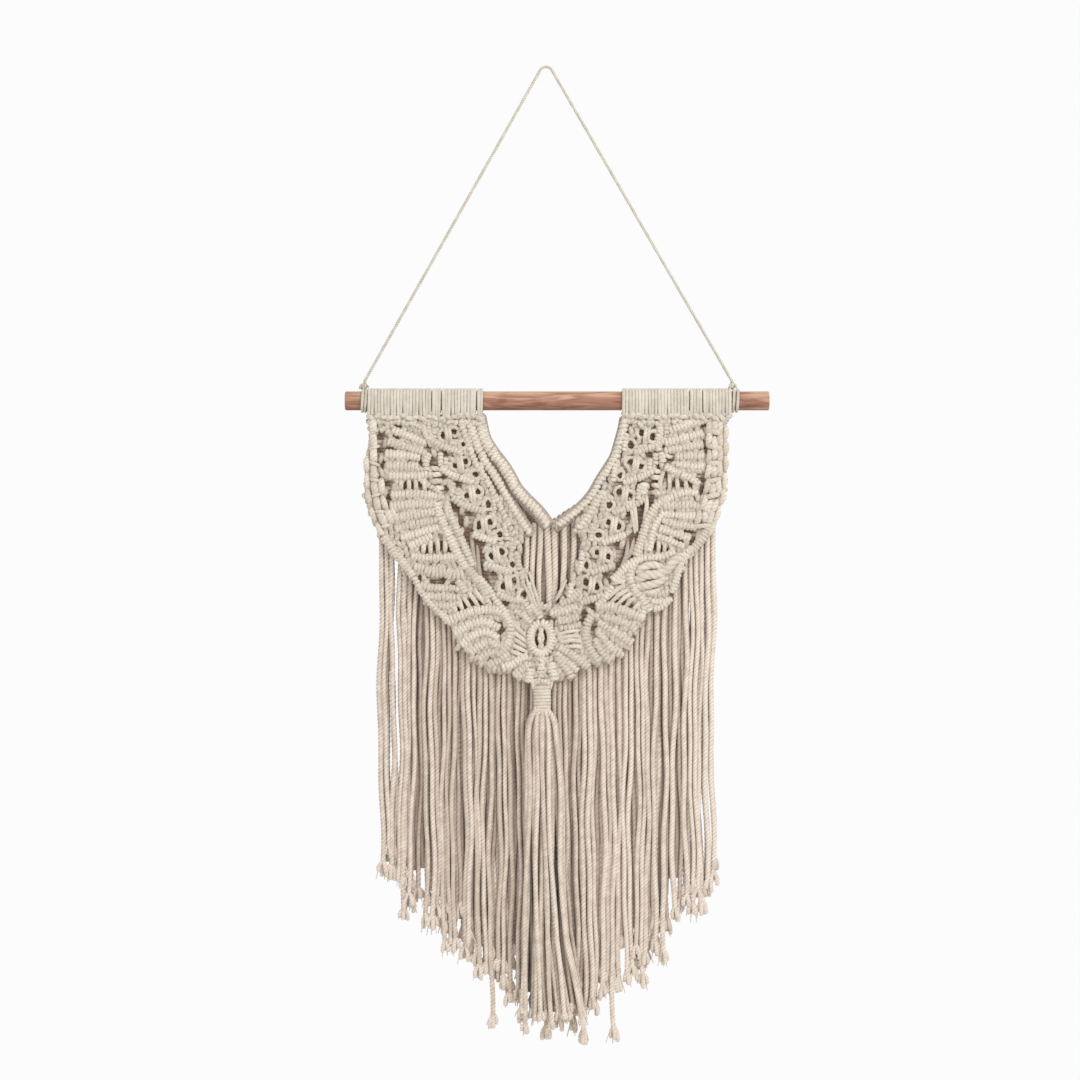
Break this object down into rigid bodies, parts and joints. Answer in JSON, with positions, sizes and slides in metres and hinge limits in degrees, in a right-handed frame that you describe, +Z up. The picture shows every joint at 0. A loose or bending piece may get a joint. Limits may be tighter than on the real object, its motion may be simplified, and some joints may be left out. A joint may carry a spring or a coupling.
{
  "type": "macrame wall hanging on a wooden dowel",
  "caption": "Symmetrical knotted cotton wall hanging with two curved leaf bands, open lattice, central ring and tassel, and long twisted-cord fringe, hung on a wooden dowel by a thin cord.",
  "frame": {"origin": "where the hanging cord bends over its hook, at the underside of the cord", "axes": "+Z up, +X to the right of someone facing the hanging, front towards -Y"},
  "size_m": [0.33, 0.0208, 0.7475],
  "materials": {
    "cotton_cord": "matte",
    "hanging_cord": "matte",
    "dowel_wood": "satin"
  },
  "bodies": {
    "root": {"dowel": "dowel_wood", "hanging_cord": "hanging_cord", "tie_left": "hanging_cord", "tie_right": "hanging_cord", "heading_left": "cotton_cord", "heading_right": "cotton_cord", "panel_left": "cotton_cord", "panel_right": "cotton_cord", "centre_knot": "cotton_cord", "fringe_left": "cotton_cord", "fringe_right": "cotton_cord", "fringe_back_left": "cotton_cord", "fringe_back_right": "cotton_cord", "tassel": "cotton_cord", "tassel_binding": "cotton_cord"}
  },
  "joints": []
}
